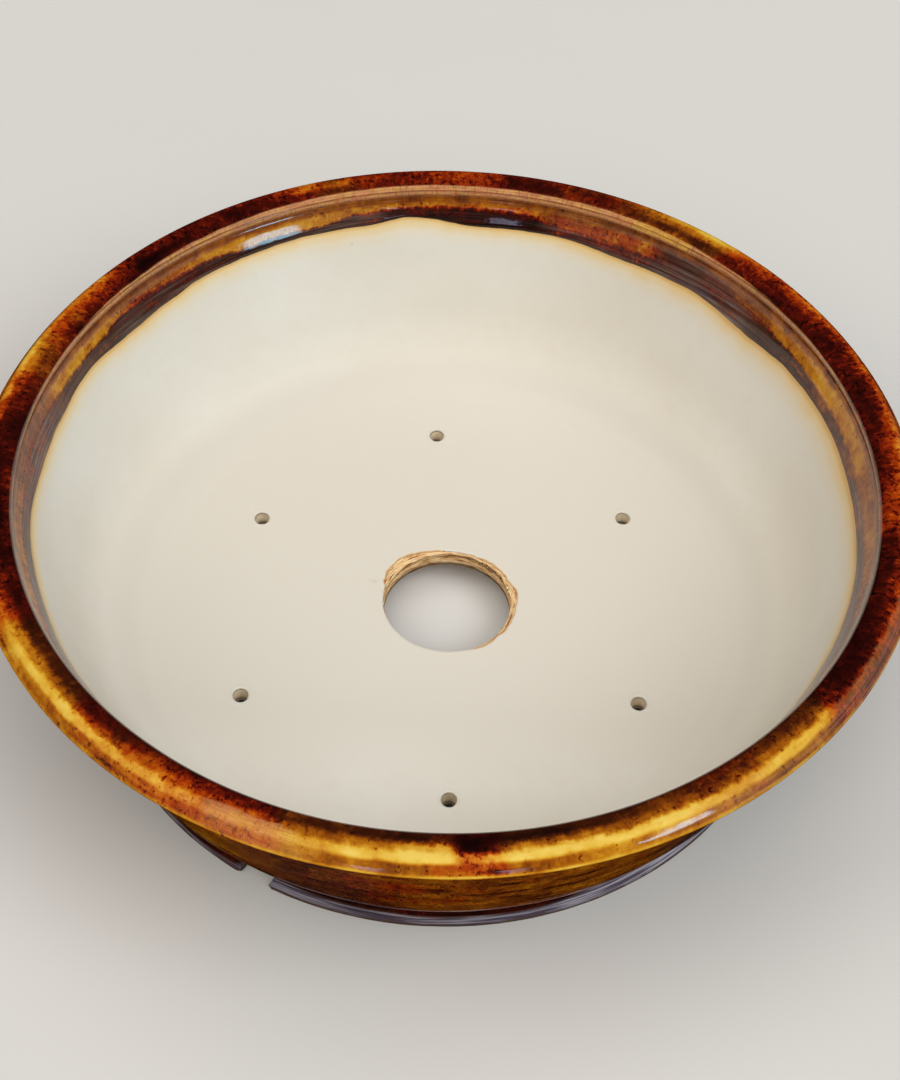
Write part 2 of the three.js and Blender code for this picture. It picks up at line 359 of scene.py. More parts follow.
def amber_glaze():
    f = Finish("amber_glaze")
    tone, red, thin, steep = (f.attribute(name) for name in ("tone", "red", "thin", "steep"))
    bloom, flow = f.attribute("bloom"), f.attribute("flow", "Vector")
    # Where the glaze turns from thin to thick its boundary is toothed.
    teeth = f.noise(f.scaled(flow, 1.0, 1.0, 0.8), 0.38, 3.0, 0.62, 0.5)
    clouds = f.noise(f.scaled(flow, 0.8, 0.8, 1.2), 0.15, 3.0, 0.55)
    mottle = f.noise(f.scaled(flow, 1.0, 1.0, 0.8), 0.42, 3.0, 0.62, 0.6)
    thick = f.plus(tone, f.minus(clouds), 0.46)
    thick = f.plus(thick, f.times(f.minus(teeth), 3.8), steep, clamp=True)
    middle = f.times(f.times(thick, 4.0), f.minus(1.0, thick))
    thick = f.plus(thick, f.minus(mottle), f.times(middle, f.plus(0.28, red, 0.36)))
    # Dark grains of iron gather where it breaks red, and are rare in the yellow.
    grains = f.noise(f.scaled(flow, 1.0, 1.0, 0.85), 0.66, 3.0, 0.62, 0.5)
    rarity = f.times(f.plus(0.30, red, 0.70), -0.17)
    grains = f.spread(f.minus(grains, f.plus(0.675, middle, rarity)), 0.0, 0.10)
    thick = f.plus(thick, grains, 0.24)
    # Lighter flecks float in the dark red.
    flecks = f.spread(f.noise(f.scaled(flow, 1.2, 1.2, 0.6), 0.62, 3.0, 0.6), 0.53, 0.70)
    flecks = f.times(flecks, f.times(red, f.spread(thick, 1.00, 0.66)))
    flecks = f.times(flecks, f.spread(thick, 0.40, 0.58))
    thick = f.plus(thick, flecks, -0.20, clamp=True)
    reddish = f.plus(red, f.minus(f.noise(flow, 0.10, 2.0, 0.5)), 1.0)
    reddish = f.spread(f.plus(reddish, grains, 0.25), 0.36, 0.80)
    colour = f.mix(reddish, f.ramp(thick, HONEY), f.ramp(thick, RUBY))
    # Over a sharp edge it is so thin that the clay tints it; the same pale colours paint highlights at the
    # mouth and a reflected haze on the lip's face.
    tinge = f.times(reddish, f.spread(mottle, 0.42, 0.60, 1.0, 0.5))
    pale = f.mix(tinge, (222, 176, 88), (206, 146, 102))
    dashes = f.noise(f.scaled(flow, 1.5, 1.5, 0.35), 0.9, 2.0, 0.6)
    pale = f.mix(f.spread(dashes, 0.52, 0.68, 0.0, 0.6), pale, (160, 84, 48))
    lines = f.noise(f.scaled(flow, 0.25, 0.25, 3.0), 0.7, 2.0, 0.6)
    pale = f.mix(f.spread(lines, 0.40, 0.66, 0.0, 0.5), pale, (150, 90, 52))
    colour = f.mix(thin, colour, pale)
    # A painted sheen of reflected light lies on it in level streaks, smoky where it is faint and lilac where
    # it is strong.
    streaks = f.noise(f.scaled(flow, 0.04, 0.04, 2.4), 0.8, 3.0, 0.6)
    lilac = f.mix(f.spread(streaks, 0.42, 0.64), (82, 74, 86), (172, 166, 176))
    smoky = f.mix(f.spread(streaks, 0.36, 0.66), (74, 50, 46), (146, 120, 108))
    colour = f.mix(bloom, colour, f.mix(f.spread(bloom, 0.45, 0.62), smoky, lilac))
    normal = f.bump(f.noise(flow, 0.12, 2.0), 0.00012)
    rough = f.spread(f.noise(flow, 0.4, 3.0), 0.35, 0.75, 0.06, 0.12, "LINEAR")
    return f.surface(Base_Color=colour, Roughness=rough, IOR=1.52, Normal=normal)


def cream_glaze():
    f = Finish("cream_glaze")
    mm, edge = f.millimetres(), f.attribute("edge")
    cloud = f.noise(mm, 0.014, 4.0, 0.55)
    mottle = f.noise(mm, 0.22, 3.0, 0.6)
    colour = f.mix(f.spread(cloud, 0.3, 0.7), (227, 223, 213), (222, 216, 203))
    colour = f.mix(f.times(f.spread(mottle, 0.45, 0.8), 0.15), colour, (214, 204, 184))
    # It is painted a little darker on the floor, as shade: least at the front and most at the back.
    low = f.spread(f.node("SeparateXYZ", None, "Z", Vector=mm), 27.0, 16.5)
    back = f.node("SeparateXYZ", None, "Y", Vector=mm)
    colour = f.mix(f.times(low, f.spread(back, -80.0, -46.0)), colour, (213, 207, 195))
    colour = f.mix(f.times(low, f.spread(back, 20.0, 95.0, 0.0, 0.45)), colour, (204, 198, 188))
    # The amber glaze bleeds into the cream below its edge, and at the drain hole the clay warms it.
    reach = f.plus(edge, f.minus(f.noise(mm, 0.10, 3.0, 0.6)), 3.0)
    colour = f.mix(f.spread(reach, 8.5, -1.0, 0.0, 0.62), colour, (232, 206, 150))
    colour = f.mix(f.spread(reach, 4.2, -0.6, 0.0, 0.80), colour, (226, 188, 112))
    colour = f.mix(f.spread(edge, 1.3, 0.0, 0.0, 0.55), colour, (200, 146, 68))
    colour = f.mix(f.spread(f.attribute("rim"), 0.7, 0.1, 0.0, 0.8), colour, (206, 160, 96))
    # A short scuff beside the drain hole.
    beside = f.node("VectorMath", {"operation": "SUBTRACT"}, in_0=mm, in_1=SCUFF)
    beside = f.node("VectorMath", {"operation": "LENGTH"}, "Value", in_0=f.scaled(beside, 0.42, 1.1, 0.0))
    wisps = f.math("ABSOLUTE", f.minus(f.noise(mm, 0.9, 2.0)))
    wisps = f.times(f.spread(beside, 1.0, 0.6), f.spread(wisps, 0.035, 0.010, 0.0, 0.7))
    colour = f.mix(wisps, colour, (122, 114, 102))
    # A few iron specks.
    speck = f.times(f.spread(f.cells(mm, 0.05), 0.022, 0.010), f.spread(f.noise(mm, 0.03, 1.0), 0.50, 0.56))
    colour = f.mix(f.times(speck, 0.65), colour, (120, 96, 70))
    rough = f.spread(f.noise(mm, 0.05, 3.0), 0.3, 0.7, 0.40, 0.50, "LINEAR")
    normal = f.bump(f.noise(mm, 0.10, 2.0), 0.00012)
    return f.surface(Base_Color=colour, Roughness=rough, IOR=1.46, Normal=normal)


def bare_clay():
    f = Finish("bare_clay")
    stain, washed, glazed, pitted = (f.attribute(name) for name in ("stain", "washed", "glazed", "pitted"))
    layers, mm = f.attribute("layers", "Vector"), f.millimetres()
    broad = f.noise(mm, 0.05, 4.0, 0.6)
    grain = f.noise(mm, 1.5, 4.0, 0.7)
    colour = f.mix(f.spread(broad, 0.3, 0.7), (214, 178, 132), (200, 158, 112))
    # Torn at the drain hole, it shows layers: pale, sandy and burnt brown.
    torn = f.noise(layers, 0.9, 4.0, 0.62, 0.4)
    sandy = f.mix(f.spread(torn, 0.40, 0.50), (234, 208, 162), (216, 176, 122))
    sandy = f.mix(f.spread(torn, 0.535, 0.585), sandy, (142, 90, 52))
    colour = f.mix(stain, colour, sandy)
    colour = f.mix(f.spread(grain, 0.52, 0.74, 0.0, 0.40), colour, (150, 104, 66))
    colour = f.mix(f.times(f.spread(f.cells(mm, 0.7), 0.22, 0.10), 0.4), colour, (104, 72, 50))
    pits = f.spread(f.noise(f.scaled(mm, 1.0, 1.0, 1.6), 1.15, 2.0, 0.6), 0.50, 0.58)
    pits = f.times(pits, pitted)
    colour = f.mix(f.times(pits, 0.85), colour, (74, 42, 26))
    # Cream glaze that ran into the wire holes leaves a pale wash.
    colour = f.mix(washed, colour, (232, 218, 192))
    # Dark glaze on the feet, and painted shade low in the bores of the holes.
    colour = f.mix(glazed, colour, (46, 24, 18))
    normal = f.bump(grain, 0.00018)
    normal = f.bump(f.noise(mm, 4.5, 2.0), 0.00006, normal)
    normal = f.bump(f.minus(1.0, pits), 0.0005, normal)
    rough = f.plus(f.spread(broad, 0.3, 0.7, 0.78, 0.92, "LINEAR"), glazed, -0.5)
    return f.surface(Base_Color=colour, Roughness=rough, IOR=1.45, Normal=normal)


AMBER, CREAM, CLAY = amber_glaze(), cream_glaze(), bare_clay()


# ---------------------------------------------------------------- profiles

# Each is a line of (radius, height) points, and how far apart its rows are.
INNER = catmull([[99, 15.7], [107.5, 17.2], [115, 23], [121, 33], [126, 46], [130.5, 59], [134.9, 71.2],
                 [137.4, 76.6], [139.5, 81.6]], 1.0)
BAND = catmull([[130.5, 59], [134.9, 71.2], [136.55, 75.1], [138.5, 79.1], [139.25, 81.2],
                [139.62, 81.9]], 0.28)
LIP = catmull([[139.62, 81.9], [139.55, 82.4], [139.2, 82.85], [139.08, 83.25], [139.2, 83.7], [139.45, 84.1],
               [139.52, 84.4], [139.6, 84.65], [139.95, 85.2], [140.6, 85.8], [141.5, 86.22], [142.8, 86.55],
               [144, 86.7], [146.4, 86.8], [148.4, 86.68], [149.4, 86.45], [150.0, 86.1], [150.45, 85.65],
               [151.05, 84.95], [151.7, 84.15], [152.3, 83.3], [152.8, 82.55], [153.02, 82.1],
               [152.95, 81.75], [152.5, 81.2], [151.3, 80.1], [149.4, 79.0], [147, 77.9], [145.0, 76.8],
               [144, 76]], 0.33)
WALL = catmull([[144, 76], [142.2, 70.5], [140, 63], [135.8, 48], [131.4, 34], [126.6, 21], [122.2, 12.6],
                [120.3, 9.9], [119.5, 9.2], [118.4, 9.05]], 1.15)
FOOT_OUTER = catmull([[119.9, 0.0], [120.25, 0.25], [120.3, 0.6], [119.95, 1.15], [119.3, 2.2], [118.6, 3.4],
                      [118.2, 5.0], [118.0, 7.0], [117.9, FOOT_TOP]], 0.4)
FOOT_INNER = catmull([[107.2, 0.0], [106.4, 0.4], [106.0, 1.2], [105.7, 3.0], [105.4, 5.6], [105.2, 7.4],
                      [105.0, FOOT_TOP]], 0.9)
MOUTH, MOUTH_EDGE, SHOULDER, RIDGE = (139.8, 84.7), (141.4, 86.2), (150.0, 86.1), (153.02, 82.1)

# Height of the amber glaze's lower edge inside the mouth, by angle.
EDGE = [(0, 69.1), (20, 70.5), (29, 70.4), (38, 68.9), (50, 71.2), (62, 71), (74, 72.6), (86, 72.1),
        (97, 75.2), (104, 73.6), (117, 73.8), (128, 73.3), (146, 70.8), (158, 72.1), (168, 70.5),
        (176, 70.1), (188, 71.8), (202, 70.4), (216, 71.6), (230, 70.2), (246, 72.2), (262, 70.8),
        (279, 71.9), (296, 70), (312, 71.3), (329, 69.9), (345, 70.4)]

# How narrow the amber halo under that edge is, by angle.
HALO = [(0, .58), (12, .54), (40, .6), (60, .78), (80, .9), (100, .78), (130, .8), (152, .92), (176, .95),
        (200, 1), (270, .8), (335, .66)]

# How thick the glaze looks, from 0, thin and yellow, to 1, thick and nearly black.
# Across the lip: by angle, at the mouth, a third in, two thirds in, at the shoulder
# and on the face below it. The last value is how red the glaze breaks, against honey.
LIP_TONES = [
    (0, .75, .68, .42, .22, .4, 1), (5, .78, .6, .4, .22, .4, .9), (9, .75, .72, .56, .36, .4, .9),
    (13, .76, .8, .66, .4, .4, 1), (20, .8, .78, .68, .38, .45, 1), (26, .76, .8, .66, .38, .45, 1),
    (32, .75, .74, .5, .34, .45, .9), (38, .78, .72, .5, .38, .4, .9), (44, .72, .7, .48, .34, .35, .85),
    (50, .62, .68, .36, .12, .25, .35), (56, .45, .68, .4, .16, .25, .25),
    (62, .48, .62, .52, .42, .4, .45), (70, .6, .72, .72, .66, .45, .6), (80, .65, .78, .78, .66, .5, .8),
    (86, .6, .58, .48, .46, .45, .8), (92, .6, .5, .45, .46, .4, .95), (96, .65, .68, .65, .6, .45, .95),
    (101, .6, .62, .55, .59, .45, .75), (107, .6, .58, .41, .49, .45, .65),
    (112, .65, .62, .31, .32, .4, .65), (116, .7, .74, .61, .54, .45, 1), (121, .75, .85, .8, .62, .45, .9),
    (130, .7, .8, .76, .68, .45, 1), (135, .8, .95, .72, .62, .45, 1), (140, .9, .95, .8, .58, .45, 1),
    (142, .8, .7, .61, .5, .4, 1), (146, .7, .6, .39, .24, .35, 1), (155, .75, .6, .41, .22, .3, .75),
    (163, .6, .55, .37, .16, .3, .55), (170, .75, .7, .51, .26, .3, .75), (175, .85, .85, .8, .48, .35, .9),
    (182, .72, .8, .85, .6, .4, .9), (190, .75, .88, .9, .72, .45, 1), (197, .75, .82, .78, .58, .4, 1),
    (201, .75, .75, .56, .46, .35, 1), (206, .75, .88, .55, .35, .32, .9),
    (212, .75, .75, .33, .13, .3, .4), (218, .72, .72, .37, .09, .34, .1),
    (225, .78, .74, .48, .09, .36, .6), (230, .8, .74, .44, .15, .34, .65),
    (236, .82, .6, .36, .17, .34, .7), (240, .8, .62, .35, .17, .35, .75),
    (245, .8, .68, .42, .24, .38, .9), (250, .72, .7, .4, .27, .42, .8), (256, .64, .72, .45, .17, .38, .2),
    (262, .68, .76, .41, .07, .44, .1), (268, .75, .9, .25, .05, .46, .3),
    (271, .72, .74, .15, .05, .44, .5), (273, .8, .95, .92, .32, .44, .9),
    (276, .75, .86, .83, .23, .42, .9), (279, .75, .86, .33, .07, .44, .3),
    (284, .72, .9, .47, .05, .4, .2), (288, .75, .76, .41, .05, .34, .3),
    (295, .75, .66, .47, .05, .28, .2), (300, .75, .66, .51, .13, .32, .4),
    (306, .75, .66, .47, .17, .34, .5), (312, .75, .62, .43, .13, .38, .3),
    (319, .75, .66, .47, .21, .4, .4), (322, .8, .78, .76, .52, .46, 1), (326, .85, .9, .86, .5, .48, 1),
    (331, .85, .86, .8, .56, .48, 1), (337, .85, .86, .7, .48, .44, 1), (343, .8, .84, .6, .48, .42, 1),
    (348, .8, .8, .6, .48, .42, 1), (351, .52, .52, .44, .38, .4, .9), (356, .52, .5, .42, .3, .4, .9),
]

# How far inside the mouth, in mm along its profile, the pale strip starts, by angle; the strip is partly a
# painted highlight.
MOUTH_START = [(0, 5.4), (15, 5.2), (30, 4.5), (45, 3.8), (54, 3), (62, 2.6), (100, 2.3), (115, 2.5),
               (130, 3), (145, 3.6), (158, 4.4), (168, 5.1), (180, 5.4), (270, 5.2)]

# A painted haze of reflected light on the lip's shoulder and outer face, by angle.
FACE_PAINTED_HAZE = [(0, .2), (20, 0), (200, 0), (240, .1), (247, .55), (253, .5), (259, .05), (295, 0), (301, .3),
             (308, .3), (314, .15), (319, .1), (325, .24), (338, .24), (348, .2)]

# How thick the glaze looks on the outside of the wall, by angle.
WALL_TONES = [(0, .62), (20, .55), (38, .66), (60, .5), (84, .62), (105, .55), (126, .68), (150, .5),
              (172, .62), (195, .54), (215, .42), (225, .34), (238, .36), (246, .54), (256, .6), (262, .54),
              (270, .5), (281, .45), (291, .44), (299, .5), (307, .62), (318, .7), (338, .58)]

# Inside the mouth: by angle, the upper tone, how far down it turns, the lower tone and
# how red it breaks.
BAND_TONES = [
    (0, .42, 11.5, .6, .2), (8, .26, 11, .62, .2), (22, .24, 10.4, .64, .3), (32, .3, 9.4, .76, .5),
    (40, .44, 8.2, .78, .5), (46, .68, 8.5, .74, .6), (56, .7, 9, .8, .6), (59, .32, 10, .72, .8),
    (66, .36, 10.2, .68, .9), (75, .44, 9, .76, .9), (79, .32, 7, .9, .8), (88, .36, 6.8, .88, 1),
    (94, .3, 6.4, .82, .8), (104, .3, 7, .72, .7), (112, .24, 9.4, .9, .4), (124, .22, 9, .95, .4),
    (130, .24, 7.6, .82, .6), (137, .38, 7.4, .74, .9), (146, .34, 7.2, .88, .8), (153, .24, 8.6, .76, .4),
    (163, .24, 9, .68, .4), (169, .48, 8.4, .64, .6), (184, .44, 9, .68, .6), (200, .28, 9.6, .7, .4),
    (214, .46, 8, .78, .8), (228, .26, 9.4, .76, .5), (243, .38, 8.2, .84, .9), (258, .24, 9.6, .7, .4),
    (272, .5, 8, .82, .8), (288, .28, 9.2, .74, .5), (304, .4, 8.4, .8, .8), (320, .28, 9.6, .72, .5),
    (336, .48, 8.2, .78, .8), (350, .32, 10.4, .64, .3),
]

# A painted sheen of reflected light over the glaze inside the mouth, on the lip's face, the wall and
# the feet, by angle. On the feet the height that it reaches comes first.
BAND_PAINTED_SHEEN = [(0, .38), (7, .2), (20, .08), (35, .12), (42, .42), (55, .4), (60, .2), (72, .28), (78, .04),
              (98, .06), (104, .28), (110, .25), (124, .1), (132, .24), (145, .28), (152, .1), (162, .18),
              (168, .38), (180, .4), (200, .38), (215, .22), (330, .22), (350, .36)]
FACE_PAINTED_SHEEN = [(0, .1), (20, 0), (262, 0), (298, 0), (306, .25), (319, .3), (324, .44), (336, .44), (348, .2)]
WALL_PAINTED_SHEEN = [(0, .2), (60, .1), (180, .15), (215, 0), (240, 0), (248, .14), (258, .1), (265, 0), (298, 0),
              (308, .32), (330, .3)]
FOOT_PAINTED_SHEEN = [(0, 3.5, .7), (60, 3, .7), (120, 3, .65), (180, 3, .65), (210, 1.9, .65), (236, 1.9, .7),
              (241, 4.5, .8), (255, 3.8, .62), (270, 3.1, .62), (285, 3.2, .78), (298, 4.4, .92),
              (320, 5.2, .92), (345, 4, .8)]

# How far the cream glaze has chipped back from the drain hole, by angle round it.
CHIPS = [(0, 1.9), (12, 2.3), (22, 1.5), (38, 1.3), (60, .9), (85, .8), (104, 1.1), (116, 2), (128, 3),
         (140, 3.3), (150, 3), (158, 1.8), (166, .6), (180, .3), (200, .25), (235, .25), (262, .25),
         (286, .4), (298, 1.1), (308, 1.6), (318, 1), (328, 1.7), (342, 1.5)]


def edge_height(angle):
    return round_table(EDGE, angle)[..., 0] + 0.28 * layered(on_circle(angle) * 22, 3, 5)


# ---------------------------------------------------------------- glaze shells

angles = np.arange(COLUMNS) * 360.0 / COLUMNS
ring = on_circle(angles)


def shaken(rows, flow, reach, size, seed):
    """A table's values over a shell, with the angles shaken by smooth noise."""
    return round_table(rows, angles + reach * layered(flow / size, 2, seed))


def closed_shell(name, top, under, flow, tone, stands_for, **more):
    """A ring-shaped body of amber glaze whose section is the top path and back along the under path."""
    radius, height = (np.vstack([a, b[::-1]]) for a, b in zip(top, under))

    def pad(values):
        return np.concatenate([values, values[-1:].repeat(len(under[0]), 0)])

    attributes = {key: pad(values).ravel() for key, values in more.items()}
    make_piece(name, spun(radius, height, angles), [sheet_faces(*radius.shape, True, True)], AMBER,
               "amber_glaze", stands_for, tone=pad(np.clip(tone, 0, 1)).ravel(),
               flow=pad(flow).reshape(-1, 3), **attributes)


def lip_shell():
    s, n = lengths(LIP), left_normals(LIP)
    mouth, mouth_edge, shoulder, ridge = (s[np.argmin(np.hypot(*(LIP - p).T))]
                                          for p in (MOUTH, MOUTH_EDGE, SHOULDER, RIDGE))
    down = s[:, None]
    flow = flow_of(down, angles)
    lift = 0.05 * noise(flow / 26, 31) + 0.006 * noise(flow / 6, 41) - 0.055
    # Tones across the lip, from its mouth to its shoulder.
    across = (down - mouth) / (shoulder - mouth) + 0.05 * layered(ring * 9, 2, 3)
    table = shaken(LIP_TONES, flow, 0.55, 4.5, 9)
    tone = table[..., 0].copy()
    stops = [0.12, 0.38, 0.66, 0.88]
    for k in range(3):
        tone += (table[..., k + 1] - table[..., k]) * smooth(stops[k], stops[k + 1], across)
    # Below the shoulder is the lip's outer face, and the ridge breaks yellow.
    turned_down = smooth(-0.1, 1.5, down - shoulder + 0.5 * layered(flow * [0.4, 0.4, 1] / 3, 2, 21))
    stripe = hump(down, ridge - 1.9, 0.55) * smooth(-0.2, 0.5, noise(flow * [0.12, 0.12, 1] / 2.2, 15))
    face = table[..., 4] + 0.08 * layered(flow * [0.3, 0.3, 1] / 2.6, 2, 17) + 0.16 * stripe
    tone = mixed(tone, face, turned_down)
    line = hump(down, ridge - 0.40, 0.52 + 0.12 * noise(flow / 14, 22))
    line = line * (0.55 + 0.45 * smooth(238, 256, angles))
    tone = mixed(tone, 0.20 + 0.10 * noise(flow / 9, 24), line)
    below = smooth(ridge + 0.6, ridge + 2.4, down)
    tone = mixed(tone, 0.74 + 0.15 * layered(ring * 10, 2, 23), below)
    # The mouth's edge and the bead under it break pale, partly as thin glaze and partly as a painted
    # highlight, with painted shade in the grooves between.
    depth = mouth_edge + 2.14 - down
    start = round_table(MOUTH_START, angles)[:, 0] + 0.20 * layered(ring * 30, 2, 25)
    strip = smooth(start - 0.3, start + 0.3, depth) * smooth(6.15, 5.75, depth)
    painted_groove_shade = sum(deep * hump(depth, at, wide) for at, wide, deep in
               ((3.30, 0.18, 0.35), (4.45, 0.24, 0.85), (5.05, 0.16, 0.30), (5.85, 0.20, 0.6)))
    # Painted shade in the recess under the bead.
    painted_neck_shade = smooth(5.9, 6.4, depth)
    tone = mixed(tone, 0.43, painted_neck_shade)
    gold = smooth(51, 53.5, angles) * smooth(63.5, 61.5, angles)
    red = mixed(table[..., 5], 1 - gold, strip) * (1 - 0.9 * painted_neck_shade) * (1 - 0.8 * line)
    steep = np.clip(np.gradient(tone, s, axis=0), -0.30, 0.30)
    steep = steep * (1 - painted_neck_shade) * smooth(shoulder + 0.5, shoulder, down)
    # A painted haze of reflected light on the shoulder and outer face.
    higher = 2.4 * (smooth(241, 245, angles) * smooth(257, 252, angles))
    from_top = smooth(-0.6, 0.6, down - shoulder + 1.4 + higher + 0.7 * noise(flow / 2.4, 20))
    from_top = from_top * (1 - 0.5 * smooth(0.2, 1.4, down - shoulder))
    painted_haze = shaken(FACE_PAINTED_HAZE, flow, 3.0, 5, 19)[..., 0] * from_top
    painted_haze = painted_haze * smooth(ridge - 0.1, ridge - 0.7, down)
    thin = np.maximum(0.92 * strip * (1 - painted_groove_shade), painted_haze)
    # A painted sheen of reflected light on the lip's outer face.
    bloom = shaken(FACE_PAINTED_SHEEN, flow, 2.0, 5, 27)[..., 0] * turned_down * (1 - below)
    closed_shell("glaze_lip", pushed(LIP, n, lift), backing(LIP, n, 12, COLUMNS), flow, tone, "lip_glaze",
                 red=red, thin=thin, steep=steep, bloom=bloom)


def band_shell():
    """The amber glaze inside the mouth, with its scalloped lower edge rolled over the cream."""
    s, n = lengths(BAND), left_normals(BAND)
    edge = np.interp(edge_height(angles), BAND[:, 1], s)
    rows = 46
    t = np.linspace(0, 1, rows)[:, None] ** 1.25
    along = edge + t * (s[-1] - edge)
    flow_s = s[-1] - along
    flow = flow_of(flow_s, angles)
    from_edge = along - edge
    proud = 0.16 * rounded(from_edge, 1.1) - 0.04 + 0.04 * hump(from_edge, 1.6, 1.2)
    proud *= 1 - smooth(4.0, 9.0, from_edge)
    lift = proud + (0.06 * noise(flow / 24, 51) + 0.008 * noise(flow / 6, 53)) * smooth(0, 1.5, from_edge)
    path, normal = ([np.interp(along, s, q) for q in curve.T] for curve in (BAND, n))
    top = [p + lift * q for p, q in zip(path, normal)]
    under = [(p - 0.35 * q)[::9] for p, q in zip(path, normal)]
    # Distance below the mouth edge sets the tone, and the roll at the edge is thickest.
    mouth_drop = flow_s + 2.6
    table = shaken(BAND_TONES, flow, 0.8, 5, 59)
    turn_at = table[..., 1] + 0.4 * layered(ring * 26, 3, 61)
    t = smooth(-1.0, 1.0, mouth_drop - turn_at)
    tone = mixed(table[..., 0] + 0.05, table[..., 2], t) + 0.22 * hump(from_edge, 0, 0.9)
    # Painted shade in the strip just under the bead, at the top of the band.
    high = smooth(3.0, 1.0, flow_s)
    tone = mixed(tone, 0.50, high)
    red = table[..., 3] * (0.65 + 0.35 * t)
    at_turn = np.minimum(1, 1.3 * table[..., 3]) * hump(mouth_drop, turn_at, 0.9)
    red = np.maximum(red, at_turn) * (1 - high)
    smears = noise(flow * [0.16, 0.16, 1.0] / 1.3, 63)
    tone = tone + 0.16 * smears * t * smooth(0.5, 1.5, from_edge)
    # A painted sheen of reflected light, strongest low in the band.
    bloom = shaken(BAND_PAINTED_SHEEN, flow, 2.5, 12, 65)[..., 0] * (0.6 + 0.5 * t) * (1 + 0.4 * smears)
    steep = np.clip(np.gradient(tone, axis=0) / np.gradient(flow_s, axis=0), -0.30, 0.30)
    steep = steep * (1 - high) * smooth(0.8, 1.8, from_edge)
    closed_shell("glaze_band", top, under, flow, tone, "inner_band_glaze", red=red, steep=steep,
                 thin=0 * tone, bloom=bloom)


def wall_shell():
    s, n = lengths(WALL), left_normals(WALL)
    down = s[:, None]
    flow = flow_of(down, angles)
    rise = down + 1.5 * noise(flow / 60, 70)
    fade = smooth(0, 6, down) * smooth(s[-1], s[-1] - 8, down)
    throwing = (0.05 * np.sin(rise / 1.9) + 0.03 * np.sin(rise / 0.83)) * (0.6 + 0.4 * noise(flow / 40, 71))
    lift = (throwing + 0.12 * noise(flow / 30, 73)) * fade + 0.008 * noise(flow / 6, 75) - 0.07
    # Amber patches where the glaze ran thin, and dark level lines where it gathered.
    tone = shaken(WALL_TONES, flow, 5, 30, 76)[..., 0]
    tone = tone + 0.10 * noise(flow * [1, 1, 1.6] / 24, 77) + 0.05 * noise(flow * [1, 1, 2.4] / 9, 78)
    lines = noise(flow * [0.16, 0.16, 1.0] / 2.0, 79)
    tone = tone + 0.05 * lines + 0.22 * smooth(0.35, 0.7, lines) * smooth(8, 30, down)
    # Painted shadow darkens the top of the wall under the lip; the wall is also darker towards its bottom.
    tone = tone + 0.30 * smooth(s[-1] - 9, s[-1] - 2, down) + 0.14 * (1 - smooth(0, 7, down))
    red = 0.30 + 0.28 * smooth(0.15, 0.6, noise(flow / 38, 80))
    # A painted sheen of reflected light on the wall, stronger along its dark lines.
    bloom = shaken(WALL_PAINTED_SHEEN, flow, 4, 30, 82)[..., 0] * (1 + 0.5 * lines)
    closed_shell("glaze_wall", pushed(WALL, n, lift), backing(WALL, n, 10, COLUMNS), flow, tone, "wall_glaze",
                 red=red, thin=0 * tone, steep=0 * tone + 0.03, bloom=bloom)


# ---------------------------------------------------------------- floor and liner

# Every hole in the floor as (centre, radius, points round it), with the drain hole first.
HOLES = [(DRAIN_CENTRE, DRAIN_RADIUS, 320)]
HOLES += [(distance * on_circle(angle)[:2], WIRE_RADIUS, 72) for angle, distance in WIRE_HOLES]


def wire_stretch(index, phi):
    """A punched hole is a little longer from front to back."""
    return 0.22 * np.sin(np.deg2rad(phi)) ** 2 * (index > 0)


def rim_reach(index, phi):
    """How far the liner's edge stands back from a hole's wall, by angle in degrees."""
    way = on_circle(phi, index)
    if index == 0:
        jag = layered(way * 9, 3, 81)
        reach = round_table(CHIPS, phi)[..., 0]
        return np.clip(reach * (1 + 0.30 * jag) + 0.12 * layered(way * 30, 2, 83), 0.2, 6)
    return 0.06 + 0.06 * layered(way * 2.5, 2, 85 + index) + wire_stretch(index, phi)


